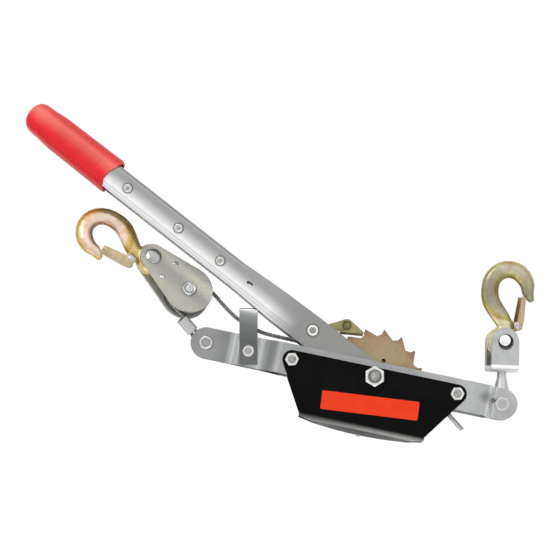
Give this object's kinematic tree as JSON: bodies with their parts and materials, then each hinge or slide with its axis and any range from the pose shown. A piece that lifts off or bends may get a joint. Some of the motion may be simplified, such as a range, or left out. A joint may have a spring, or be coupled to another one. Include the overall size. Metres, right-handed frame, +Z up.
{
  "type": "hand ratchet winch",
  "caption": "Lever-driven rope winch with a ratchet drum between two side plates, a swivel anchor hook, and a pulley block with a load hook.",
  "frame": {"origin": "drum axle axis at the outer face of the axle bolt's head, on the plane the winch lies on", "axes": "+X along the side plates towards the anchor hook, +Y across them towards the handle's side, +Z up along the axle"},
  "size_m": [0.5422, 0.2618, 0.0688],
  "materials": {
    "zinc_plate": "bright zinc plated sheet",
    "guard_black": "satin black paint",
    "fastener_zinc": "bright zinc plated",
    "dark_steel": "oiled steel",
    "gold_zinc": "yellow zinc plated",
    "hook_gold": "iridescent yellow zinc on a forging",
    "rope_steel": "galvanised wire rope",
    "ferrule_alu": "pressed aluminium",
    "grip_red": "moulded red grip",
    "label_orange": "bare orange vinyl",
    "sheave_iron": "machined groove",
    "block_zinc": "dull zinc plated plate"
  },
  "bodies": {
    "frame_body": {"front_side_plate": "zinc_plate", "rear_side_plate": "zinc_plate", "drum_guard": "guard_black", "guard_rivet": "fastener_zinc", "axle_bolt": "fastener_zinc", "axle_nut": "fastener_zinc", "guard_bolts": "fastener_zinc", "guard_nuts": "fastener_zinc", "frame_spacer": "zinc_plate", "rope_end_rivet": "fastener_zinc", "rope_end_bush": "dark_steel", "handle_rest": "dark_steel", "rest_rivet": "fastener_zinc", "anchor_bolt": "fastener_zinc", "anchor_nut": "fastener_zinc", "wire_rope": "rope_steel", "rope_ferrule": "ferrule_alu"},
    "drum_body": {"drum_barrel": "dark_steel", "front_ratchet_wheel": "gold_zinc", "rear_ratchet_wheel": "gold_zinc", "rope_core": "rope_steel", "rope_winding": "rope_steel"},
    "lever_body": {"handle_channel": "zinc_plate", "handle_grip": "grip_red", "handle_rivets": "fastener_zinc", "drive_pawl_pin": "fastener_zinc"},
    "drive_pawl_body": {"drive_pawl": "gold_zinc", "drive_pawl_spring": "dark_steel"},
    "stop_pawl_body": {"stop_pawl": "zinc_plate", "stop_pawl_spring": "dark_steel"},
    "block_body": {"front_block_plate": "block_zinc", "rear_block_plate": "block_zinc", "block_keeper_pins": "fastener_zinc", "sheave_pin": "fastener_zinc", "load_hook_rivet": "fastener_zinc"},
    "sheave_body": {"sheave": "sheave_iron"},
    "load_hook_body": {"load_hook": "hook_gold", "load_latch_rivet": "fastener_zinc"},
    "load_latch_body": {"load_latch": "gold_zinc", "load_latch_spring": "dark_steel"},
    "stud_body": {"anchor_stud": "zinc_plate"},
    "clevis_body": {"anchor_clevis": "zinc_plate", "anchor_hook_rivet": "fastener_zinc"},
    "anchor_hook_body": {"anchor_hook": "hook_gold", "anchor_latch_rivet": "fastener_zinc"},
    "anchor_latch_body": {"anchor_latch": "gold_zinc", "anchor_latch_spring": "dark_steel"}
  },
  "joints": [
    {"name": "handle_swing", "type": "hinge", "parent": "frame_body", "child": "lever_body", "pos_m": [0, 0, 0.0335], "axis": [0, 0, -1], "range_deg": [0, 90]},
    {"name": "drum_turn", "type": "hinge", "parent": "frame_body", "child": "drum_body", "pos_m": [0, 0, 0.0335], "axis": [0, 0, -1], "range_deg": [0, 90]},
    {"name": "drive_pawl_lift", "type": "hinge", "parent": "lever_body", "child": "drive_pawl_body", "pos_m": [-0.06959, 0.03298, 0.0335], "axis": [0, 0, 1], "range_deg": [0, 25]},
    {"name": "stop_pawl_turn", "type": "hinge", "parent": "frame_body", "child": "stop_pawl_body", "pos_m": [0.084, 0, 0.0335], "axis": [0, 0, 1], "range_deg": [-1, 5]},
    {"name": "block_swing", "type": "hinge", "parent": "frame_body", "child": "block_body", "pos_m": [-0.202, 0.046, 0.0335], "axis": [0.2177, 0.3623, 0.9063], "range_deg": [-2, 12]},
    {"name": "sheave_spin", "type": "hinge", "parent": "block_body", "child": "sheave_body", "pos_m": [-0.202, 0.046, 0.0335], "axis": [0.2177, 0.3623, 0.9063], "continuous": true},
    {"name": "load_hook_swing", "type": "hinge", "parent": "block_body", "child": "load_hook_body", "pos_m": [-0.24357, 0.07098, 0.0335], "axis": [0.2177, 0.3623, 0.9063], "range_deg": [-4, 30]},
    {"name": "load_latch_open", "type": "hinge", "parent": "load_hook_body", "child": "load_latch_body", "pos_m": [-0.26387, 0.06586, 0.04042], "axis": [-0.2177, -0.3623, -0.9063], "range_deg": [0, 35]},
    {"name": "stud_swing", "type": "hinge", "parent": "frame_body", "child": "stud_body", "pos_m": [0.1305, 0, 0.0335], "axis": [0, 0, 1], "range_deg": [-165, 3]},
    {"name": "clevis_swivel", "type": "hinge", "parent": "stud_body", "child": "clevis_body", "pos_m": [0.1305, 0, 0.0335], "axis": [-0.1822, 0.9833, 0], "continuous": true},
    {"name": "anchor_hook_swing", "type": "hinge", "parent": "clevis_body", "child": "anchor_hook_body", "pos_m": [0.11911, 0.06145, 0.0335], "axis": [0.2875, 0.0533, 0.9563], "range_deg": [-30, 20]},
    {"name": "anchor_latch_open", "type": "hinge", "parent": "anchor_hook_body", "child": "anchor_latch_body", "pos_m": [0.1287, 0.08091, 0.02953], "axis": [0.2875, 0.0533, 0.9563], "range_deg": [0, 35]}
  ],
  "couplings": [
    {"joint": "drum_turn", "follows": "handle_swing", "ratio": 1}
  ]
}
